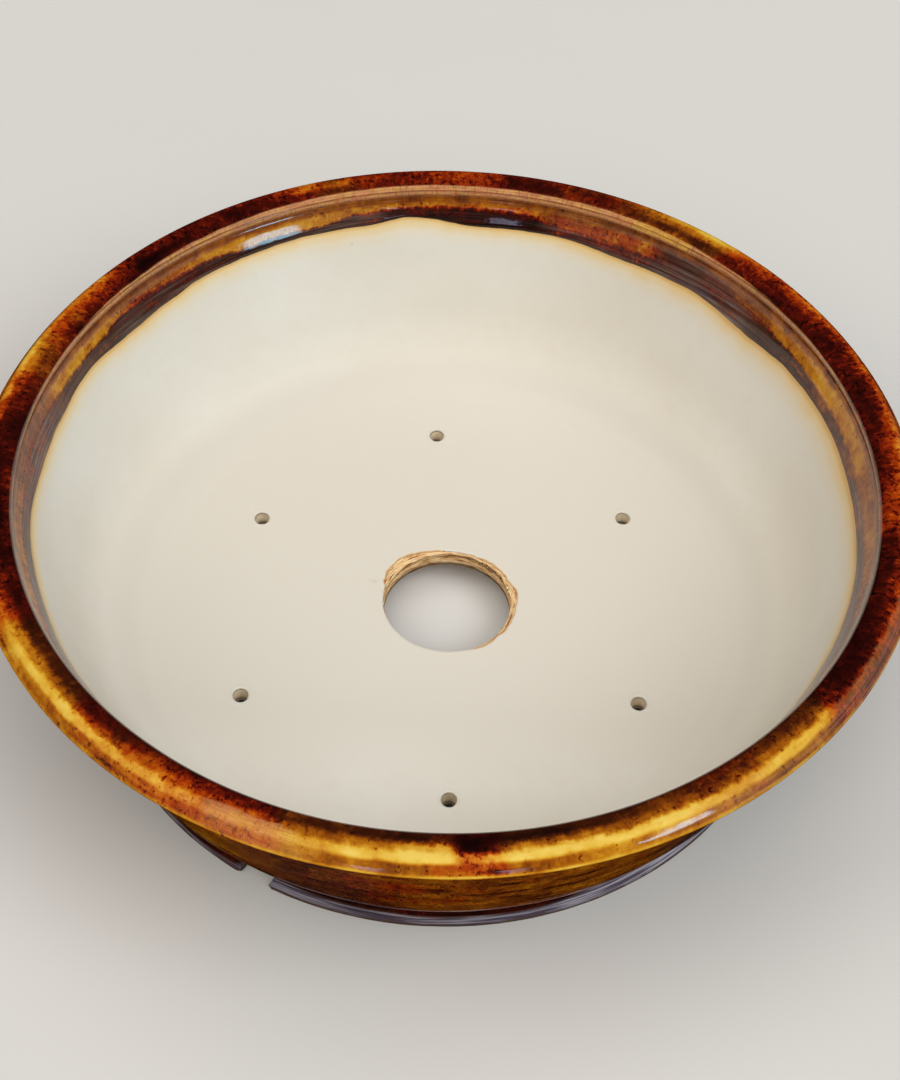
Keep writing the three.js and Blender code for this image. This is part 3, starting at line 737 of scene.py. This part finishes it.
def holed_disc(outer_radius, reach, rings_of):
    """A disc with holes, each as much wider as reach says: points, triangles facing up, hole loops
    and the outer loop. Rings of points lie at rings_of distances round each hole."""
    points, loops, edges, taken = [], [], [], []

    def loop(centre, radius, count, constrain=False):
        phi = np.arange(count) * 360.0 / count
        start = len(points)
        points.extend(centre + on_circle(phi)[:, :2] * radius(phi)[:, None])
        if constrain:
            edges.extend((start + k, start + (k + 1) % count) for k in range(count))
        return np.arange(start, start + count)

    outer = loop(np.zeros(2), lambda phi: 0 * phi + outer_radius, LINER_COLUMNS, True)
    for step, share in ((0.8, 2), (2.0, 3)):
        loop(np.zeros(2), lambda phi: 0 * phi + outer_radius - step, LINER_COLUMNS // share)
    for index, (centre, radius, count) in enumerate(HOLES):
        def inner(phi):
            return radius + reach(index, phi)

        loops.append(loop(centre, inner, count, True))
        for step in rings_of(index):
            loop(centre, lambda phi: inner(phi) + step, count if step < 2 else count // 2)
        taken.append((centre, np.max(inner(np.arange(360))) + rings_of(index)[-1] + 0.9))
    spacing = 2.3
    for row in range(int((outer_radius - 3.2) / spacing) + 1):
        count = max(1, int(round(math.tau * row)))
        turn = math.tau * (np.arange(count) + 0.5 * (row % 2)) / count
        p = spacing * row * np.stack([np.cos(turn), np.sin(turn)], 1)
        points.extend(p[np.all([np.hypot(*(p - c).T) > r for c, r in taken], axis=0)])
    flat = [Vector((float(x), float(y))) for x, y in points]
    verts, _, faces, origin, _, _ = delaunay_2d_cdt(flat, edges, [], 0, 1e-5)
    verts = np.array([v[:] for v in verts])
    back = np.full(len(points), -1)
    for new, olds in enumerate(origin):
        back[list(olds)] = new
    tris = np.array([f for f in faces if len(f) == 3])
    keep = np.ones(len(tris), bool)
    for index, (centre, radius, count) in enumerate(HOLES):
        d, phi = around(verts[tris].mean(1), centre)
        keep &= d > radius + reach(index, phi) - 1e-3
    tris = tris[keep]
    a, b, c = (verts[tris[:, k]] for k in range(3))
    up = (b[:, 0] - a[:, 0]) * (c[:, 1] - a[:, 1]) - (b[:, 1] - a[:, 1]) * (c[:, 0] - a[:, 0])
    tris = np.where((up > 0)[:, None], tris, tris[:, ::-1])
    return verts, tris, [back[l] for l in loops], back[outer]


def liner_floor_height(p):
    """The glazed floor: nearly flat, with faint throwing rings and soft rims at the holes."""
    r = np.hypot(*p.T)
    deep = np.column_stack([p, 0 * r])
    rings = np.sin(r / 4.6 + 0.9 * noise(deep / 60, 91)) + 0.5 * np.sin(r / 1.9 + 0.6)
    z = FLOOR_TOP + 0.022 * rings * smooth(24, 40, r) * smooth(FLOOR_EDGE, 92, r)
    z += 0.05 * layered(deep / 26, 2, 93) * smooth(FLOOR_EDGE, 92, r)
    for index, (centre, radius, count) in enumerate(HOLES):
        d, phi = around(p, centre)
        from_edge = d - radius - rim_reach(index, phi)
        if index:
            z -= 0.36 * hump(from_edge.clip(0), 0, 0.32)
            z += 0.10 * hump(from_edge, 0.8, 0.35) - 0.09 * hump(from_edge, 1.55, 0.40)
        else:
            z += 0.05 * hump(from_edge, 0.9, 0.6) - 0.22 * hump(from_edge.clip(0), 0, 0.30)
    return z


def liner():
    flat, tris, loops, outer = holed_disc(FLOOR_EDGE, rim_reach,
                                          lambda index: (0.15, 0.35, 0.6, 0.95, 1.4, 2.0, 2.7))
    count = len(flat)
    top = np.column_stack([flat, liner_floor_height(flat)])
    low = np.column_stack([flat, np.full(count, FLOOR_TOP - GLAZE)])
    # The wall rises from the floor's outer loop, and goes on under the amber band.
    rows = np.flatnonzero(INNER[:, 1] < LINER_TOP)[1:]
    wall, s, n = INNER[rows], lengths(INNER)[rows], left_normals(INNER)[rows]
    turn = np.arange(LINER_COLUMNS) * 360.0 / LINER_COLUMNS
    flow = flow_of(s[:, None], turn)
    lift = (0.055 * np.sin(s / 3.3)[:, None] + 0.10 * layered(flow / 30, 2, 95)) * smooth(0, 8, s)[:, None]
    up = spun(*pushed(wall, n, lift), turn)
    back = spun(*backing(wall, n, 7, LINER_COLUMNS), turn)
    base_up, base_back = 2 * count, 2 * count + len(up)
    verts = np.vstack([top, low, up, back])
    j = np.arange(LINER_COLUMNS)
    last_up, last_back = base_back - LINER_COLUMNS + j, len(verts) - LINER_COLUMNS + j
    faces = [tris, tris[:, ::-1] + count,
             sheet_faces(len(wall), LINER_COLUMNS, False, True, base_up)[:, ::-1],
             sheet_faces(len(back) // LINER_COLUMNS, LINER_COLUMNS, False, True, base_back),
             ladder_faces(outer, base_up + j, True), ladder_faces(outer + count, base_back + j, False),
             ladder_faces(last_up, last_back, True)]
    faces += [ladder_faces(l, l + count, True) for l in loops]
    # Distance below the amber edge, for the bleed in the cream, and from the drain hole's chipped edge.
    turn_all = around(verts)[1]
    slope = math.hypot(134.9 - 130.5, 71.2 - 59) / (71.2 - 59)
    edge = (edge_height(turn_all) - verts[:, 2]) * slope * round_table(HALO, turn_all)[..., 0]
    d, phi = around(verts, DRAIN_CENTRE)
    reach = rim_reach(0, phi)
    make_piece("glaze_liner", verts, faces, CREAM, "cream_glaze", "liner_glaze", edge=edge,
               rim=d - DRAIN_RADIUS - reach + 2 * smooth(1.0, 0.4, reach))


def clay_floor():
    """The clay under the glazed floor, with rough walls in its holes."""
    flat, tris, loops, outer = holed_disc(CLAY_EDGE, wire_stretch, lambda index: (
        (0.25, 0.5, 0.9, 1.6) if index else (0.4, 0.8, 1.3, 1.9, 2.7, 3.6, 4.6, 5.8)))
    top_z = FLOOR_TOP - GLAZE + 0.05
    n = len(flat)
    deep = np.column_stack([flat, np.zeros(n)])
    z = np.full(n, top_z)
    for index, (centre, radius, count) in enumerate(HOLES):
        d, phi = around(flat, centre)
        away = d - radius
        if index:
            z = z - 0.25 * hump(away, 0, 0.4)
            continue
        reach = rim_reach(index, phi)
        z = z - (0.35 + 0.30 * reach.clip(0, 3)) * (1 - smooth(-0.2, 1.0, away / (reach + 0.25)))
        rough = layered(deep / 1.5, 3, 101) * 0.30 + layered(deep / 0.6, 2, 103) * 0.12
        z = z + rough * smooth(reach + 0.3, reach - 0.5, away) * smooth(0.2, 1.2, reach)
    r = np.hypot(*flat.T)
    under = FLOOR_UNDERSIDE + 0.03 * np.sin(r / 1.7) + 0.05 * layered(deep / 12, 2, 105) + 0.02
    top = np.column_stack([flat, np.minimum(z, top_z)])
    low = np.column_stack([flat, np.maximum(under, FLOOR_UNDERSIDE + 0.005)])
    verts, faces = [top, low], [tris, tris[:, ::-1] + n]
    base = 2 * n
    rows = 12
    for l, (centre, radius, count) in zip(loops, HOLES):
        rails = [l]
        for k in range(1, rows):
            t = k / rows
            p = mixed(top[l], low[l], t)
            out = np.column_stack([(p[:, :2] - centre) / radius, np.zeros(len(l))])
            wobble = layered(p / np.array([2.2, 2.2, 0.9]), 3, 107) * math.sin(math.pi * t) ** 0.5
            if radius == DRAIN_RADIUS:
                wobble = 0.30 * wobble + 0.35 * hump(t, 0.30, 0.10)
            else:
                wobble = 0.10 * wobble
            verts.append(p + out * wobble[:, None])
            rails.append(np.arange(base, base + len(l)))
            base += len(l)
        rails.append(l + n)
        faces += [ladder_faces(a, b, True) for a, b in zip(rails[:-1], rails[1:])]
    faces.append(ladder_faces(outer, outer + n, False))
    verts = np.vstack(verts)
    d, phi = around(verts, DRAIN_CENTRE)
    z, depth, away = verts[:, 2], top_z - verts[:, 2], d - DRAIN_RADIUS
    in_drain = d < 40
    bore = smooth(1.0, 0.3, np.abs(away)) * in_drain
    pitted = smooth(10, 20, phi) * smooth(78, 60, phi) * bore
    pitted = pitted * smooth(0.3, 0.8, depth) * smooth(3.0, 2.0, depth)
    # Painted shade darkens the lower part of the drain hole's bore and of the wire holes' bores.
    drain_painted_shade = 0.75 * smooth(FLOOR_UNDERSIDE + 2.0, FLOOR_UNDERSIDE + 0.9, z) * bore
    wire_shade = 0.60 * smooth(FLOOR_UNDERSIDE + 2.2, FLOOR_UNDERSIDE + 1.0, z)
    wire_shade = wire_shade * ~in_drain * (z > FLOOR_UNDERSIDE + 0.2)
    make_piece("clay_floor", verts, faces, CLAY, "bare_clay", "floor_slab",
               stain=smooth(DRAIN_RADIUS + 7, DRAIN_RADIUS + 4, d), washed=0.9 * smooth(45, 55, d),
               layers=on_circle(phi, 0.46 * (depth - 0.8 * away)) * 5, pitted=pitted,
               glazed=np.maximum(drain_painted_shade, wire_shade))


# ---------------------------------------------------------------- feet

def foot_columns(index, radius, height, grow=0.0):
    """Angles of a foot's columns at each point of its section, from one toe to the other."""
    u = np.linspace(0, 1, FOOT_COLUMNS)
    u = u - 0.54 * np.sin(math.tau * u) / math.tau  # closer together at the toes
    t = np.clip(height / FLOOR_UNDERSIDE, 0, 1)
    half_gap = 5.4 + 1.2 * t + 4.4 * t**1.7
    half = np.degrees((half_gap - grow) / radius)
    return (NOTCHES[index] + half)[:, None] + (FOOT_TURN - 2 * half)[:, None] * u


def from_toes(columns, radius):
    return np.deg2rad(np.minimum(columns - columns[:, :1], columns[:, -1:] - columns)) * radius


def foot(index, name):
    levels, across, rungs = 20, 7, 8
    heights = np.linspace(0, FOOT_TOP, levels)
    out_r, in_r = (np.interp(heights, side[:, 1], side[:, 0]) for side in (FOOT_OUTER, FOOT_INNER))
    out_r = out_r - 0.35 * smooth(0.6, 1.6, heights)
    w = np.linspace(0, 1, across + 2)[1:-1]
    section_r = np.r_[out_r, out_r[-1] + (in_r[-1] - out_r[-1]) * w,
                      in_r[::-1], in_r[0] + (out_r[0] - in_r[0]) * w]
    section_z = np.r_[heights, np.full(across, FOOT_TOP), heights[::-1], np.zeros(across)]
    columns = foot_columns(index, section_r, section_z)
    # Each toe is rounded off, and the clay is a little uneven.
    middle = 0.5 * (out_r.mean() + in_r.mean())
    pinch = 1 - smooth(0, 1.4, from_toes(columns, FOOT_RADIUS))
    radius = section_r[:, None] + (middle - section_r[:, None]) * 0.10 * pinch**2
    p = spun(radius, section_z[:, None], columns).reshape(*columns.shape, 3)
    lump = layered(p / 9, 2, 111 + index) * 0.14 + layered(p / 1.6, 2, 113) * 0.04
    radius = radius + lump * np.where((section_r > middle)[:, None], -1, 1) * 0.6
    verts = spun(radius, section_z[:, None], columns)
    grid = verts.reshape(*columns.shape, 3)
    count = len(section_r)
    faces, strips, extra = [sheet_faces(count, FOOT_COLUMNS, True, False)], [], []
    # The toe faces are ladders between the outer and the inner side, and bulge a little.
    base = len(verts)
    outer_rows = np.arange(levels)
    inner_rows = np.arange(levels + across, 2 * levels + across)[::-1]
    top_rows = np.arange(levels, levels + across)
    base_rows = np.arange(2 * levels + across, count)
    for end, turned in ((0, True), (FOOT_COLUMNS - 1, False)):
        a, b = grid[outer_rows, end], grid[inner_rows, end]
        ids = np.zeros((levels, rungs + 1), int)
        ids[:, 0] = outer_rows * FOOT_COLUMNS + end
        ids[:, -1] = inner_rows * FOOT_COLUMNS + end
        for k in range(1, rungs):
            t = k / rungs
            line = mixed(a, b, t)
            out = np.cross(b - a, [0, 0, 1.0])
            out /= np.linalg.norm(out, axis=1)[:, None]
            out *= np.sign(out[0] @ (grid[0, end] - grid[0, FOOT_COLUMNS // 2]))
            bulge = 0.7 * math.sin(math.pi * t) ** 0.6 + 0.18 * layered(line / 2.5, 3, 117)
            bulge = bulge * np.sin(np.pi * np.linspace(0.06, 0.94, levels)) ** 0.5
            extra.append(line + out * bulge[:, None])
            ids[:, k] = base + np.arange(levels)
            base += levels
        q = np.stack([ids[:-1, :-1], ids[:-1, 1:], ids[1:, 1:], ids[1:, :-1]], -1).reshape(-1, 4)
        faces.append(q[:, ::-1] if turned else q)
        # The section's base and top rows close the ladder's ends.
        low = np.r_[ids[0, -1], base_rows * FOOT_COLUMNS + end, ids[0, :-1]]
        high = np.r_[ids[-1, 0], top_rows * FOOT_COLUMNS + end, ids[-1, :0:-1]]
        strips += [strip if turned else strip[::-1] for strip in (low, high)]
    verts = np.vstack([verts] + extra)
    middles = [verts[strip].mean(0) for strip in strips]
    fans = [np.column_stack([strip, np.roll(strip, -1), np.full(len(strip), len(verts) + k)])
            for k, strip in enumerate(strips)]
    verts = np.vstack([verts] + middles)
    out, turn = around(verts)
    turn = turn - NOTCHES[index]
    toe = np.deg2rad(np.minimum(turn % 360, (FOOT_TURN - turn) % 360)) * FOOT_RADIUS
    glazed = 0.9 * np.maximum(smooth(13.5, 12.0, toe) * smooth(108, 110, out), smooth(117.6, 118.6, out))
    none = np.zeros(len(verts))
    make_piece("clay_foot_" + name, verts, faces + [np.vstack(fans)], CLAY, "bare_clay", "foot_" + name,
               stain=none, washed=none, pitted=none, glazed=glazed, layers=verts)


def foot_glaze(index, name):
    """Glaze on a foot's outer face, closed over its two toes and stopping above the table."""
    face = FOOT_OUTER[FOOT_OUTER[:, 1] >= 0.55]
    s = lengths(face)
    radius, height = face[:, :1], face[:, 1:]
    columns = foot_columns(index, face[:, 0], face[:, 1], 0.25)
    flow = flow_of(s[::-1][:, None], columns)
    low_edge = 0.18 * layered(on_circle(columns[0]) * 40, 3, 121)
    raised = height + low_edge * (1 - smooth(0, 1.5, s))[:, None]
    ease = rounded(from_toes(columns, FOOT_FACE), 0.6) * (0.25 + 0.75 * rounded(s, 0.5)[:, None])
    outside = radius + 0.05 * layered(flow / 7, 2, 123) - 0.07 - 0.45 * (1 - ease)
    verts = np.vstack([spun(outside, raised, columns), spun(radius - 0.62, raised, columns)])
    rows, cols = columns.shape
    size = rows * cols
    faces = [sheet_faces(rows, cols, False, False), sheet_faces(rows, cols, False, False, size)[:, ::-1]]
    ids = np.arange(size).reshape(rows, cols)
    for line, flip in ((ids[0], True), (ids[-1], False), (ids[:, 0], False), (ids[:, -1], True)):
        a, b = line[:-1], line[1:]
        q = np.stack([a, a + size, b + size, b], 1)
        faces.append(q[:, ::-1] if flip else q)
    tone = np.clip(0.84 + 0.12 * layered(flow / 9, 2, 125) - 0.12 * hump(height, 0.9, 0.4), 0, 1)
    # A painted sheen of reflected light on the foot's flared face, up to a height that changes by angle.
    table = round_table(FOOT_PAINTED_SHEEN, columns)
    bloom = table[..., 1] * smooth(0.6, -0.4, height - table[..., 0] + 0.4 * noise(flow / 16, 127))
    none = np.zeros(2 * size)
    make_piece("glaze_foot_" + name, verts, faces, AMBER, "amber_glaze", "foot_glaze_" + name,
               red=none + 0.6, thin=none, steep=none + 0.05, bloom=np.r_[bloom.ravel(), bloom.ravel()],
               tone=np.r_[tone.ravel(), tone.ravel()], flow=np.vstack([flow.reshape(-1, 3)] * 2))


lip_shell()
band_shell()
wall_shell()
liner()
clay_floor()
for index, name in enumerate(("rear_right", "left", "front_right")):
    foot(index, name)
    foot_glaze(index, name)

# The clay of the wall and lip lies wholly under glaze, and keeps its CAD shape.
for name in ("wall", "rolled_lip"):
    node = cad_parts[name]
    if not node.material_slots:
        node.data.materials.append(None)
    for slot in node.material_slots:
        slot.link = "OBJECT"
        slot.material = CLAY


# ---------------------------------------------------------------- studio

def studio_floor():
    f = Finish("studio_floor")
    cloud = f.noise(f.node("TexCoord", None, "Object"), 3.0, 4.0, 0.55)
    colour = f.mix(cloud, (206, 204, 200), (214, 212, 208))
    f.surface(Base_Color=colour, Roughness=0.9, Specular_IOR_Level=0.0)
    mesh = bpy.data.meshes.new("studio_floor")
    corners = [(STUDIO_HALF * x, STUDIO_HALF * y, 0) for x, y in ((-1, -1), (1, -1), (1, 1), (-1, 1))]
    mesh.from_pydata(corners, [], [(0, 1, 2, 3)])
    mesh.materials.append(f.material)
    plane = bpy.data.objects.new("studio_floor", mesh)
    bpy.context.scene.collection.objects.link(plane)
    plane.visible_glossy = False


def backdrop():
    """A pale background that only the camera sees, so that it adds no light and no reflection."""
    world = bpy.data.worlds.new("studio")
    bpy.context.scene.world = world
    world.use_nodes = True
    back = world.node_tree.nodes["Background"]
    back.inputs["Color"].default_value = (1.0, 0.985, 0.96, 1)
    back.inputs["Strength"].default_value = 0.68
    seen = world.cycles_visibility
    seen.diffuse = seen.glossy = seen.transmission = seen.scatter = False


# Each light's azimuth, elevation, distance, width, height, power and colour, and whether it shows
# in reflections. They are for a small studio, and are scaled up so that they cover the whole floor.
LIGHTS = {
    "window": (-43.5, 12.8, 2.4, 0.60, 0.30, 4.8, (0.38, 0.78, 1.0), True),
    "front": (-95, 46, 2.4, 2.6, 1.6, 24, (1.0, 0.96, 0.92), False),
    "lamp_left": (-103, 11, 2.4, 0.30, 0.16, 0.40, (0.68, 0.72, 1.0), True),
    "lamp_right": (-75, 11, 2.4, 0.22, 0.12, 0.24, (0.70, 0.78, 1.0), True),
    "ceiling": (90, 86, 2.5, 3.0, 3.0, 32.5, (1.0, 0.98, 0.955), False),
    "side": (-30, 45, 2.4, 1.6, 1.6, 27, (0.95, 0.975, 0.99), False),
    "left": (190, 42, 2.4, 1.6, 1.6, 14, (1.0, 0.95, 0.88), False),
}


def soft_light(name, azimuth, elevation, distance, width, height, power, colour, glossy):
    light = bpy.data.lights.new(name, "AREA")
    light.shape, light.size, light.size_y = "ELLIPSE", width * STUDIO_SCALE, height * STUDIO_SCALE
    light.energy, light.color = power * STUDIO_SCALE**2, colour
    lamp = bpy.data.objects.new(name, light)
    turn, rise = math.radians(azimuth), math.radians(elevation)
    way = Vector((math.cos(turn) * math.cos(rise), math.sin(turn) * math.cos(rise), math.sin(rise)))
    lamp.location = Vector((0, 0, 0.06)) + way * distance * STUDIO_SCALE
    lamp.visible_glossy = glossy
    lamp.rotation_euler = (-way).to_track_quat("-Z", "Y").to_euler()
    bpy.context.scene.collection.objects.link(lamp)


def camera():
    """The photographer stands in front of the pot and looks down into it."""
    lens, distance, elevation = 66.47, 0.6452, 46.663
    yaw, pitch, roll = -0.139, -2.199, -1.627
    target_height = 0.0862
    e = math.radians(elevation)
    data = bpy.data.cameras.new("camera")
    data.lens, data.sensor_width, data.sensor_fit = lens, 36.0, "AUTO"
    data.clip_start, data.clip_end = 0.01, 100.0
    cam = bpy.data.objects.new("camera", data)
    forward = Vector((0, math.cos(e), -math.sin(e)))
    right = Vector((1, 0, 0))
    up = right.cross(forward)
    for axis, degrees in (("up", yaw), ("right", pitch), ("forward", roll)):
        about = {"up": up, "right": right, "forward": forward}[axis]
        turn = Matrix.Rotation(math.radians(degrees), 3, about)
        forward, right, up = turn @ forward, turn @ right, turn @ up
    cam.matrix_world = Matrix((right, up, -forward)).transposed().to_4x4()
    cam.location = (0, -distance * math.cos(e), distance * math.sin(e) + target_height)
    bpy.context.scene.collection.objects.link(cam)
    bpy.context.scene.camera = cam


studio_floor()
backdrop()
for name, values in LIGHTS.items():
    soft_light(name, *values)
bpy.context.scene.view_settings.view_transform = "Standard"
camera()
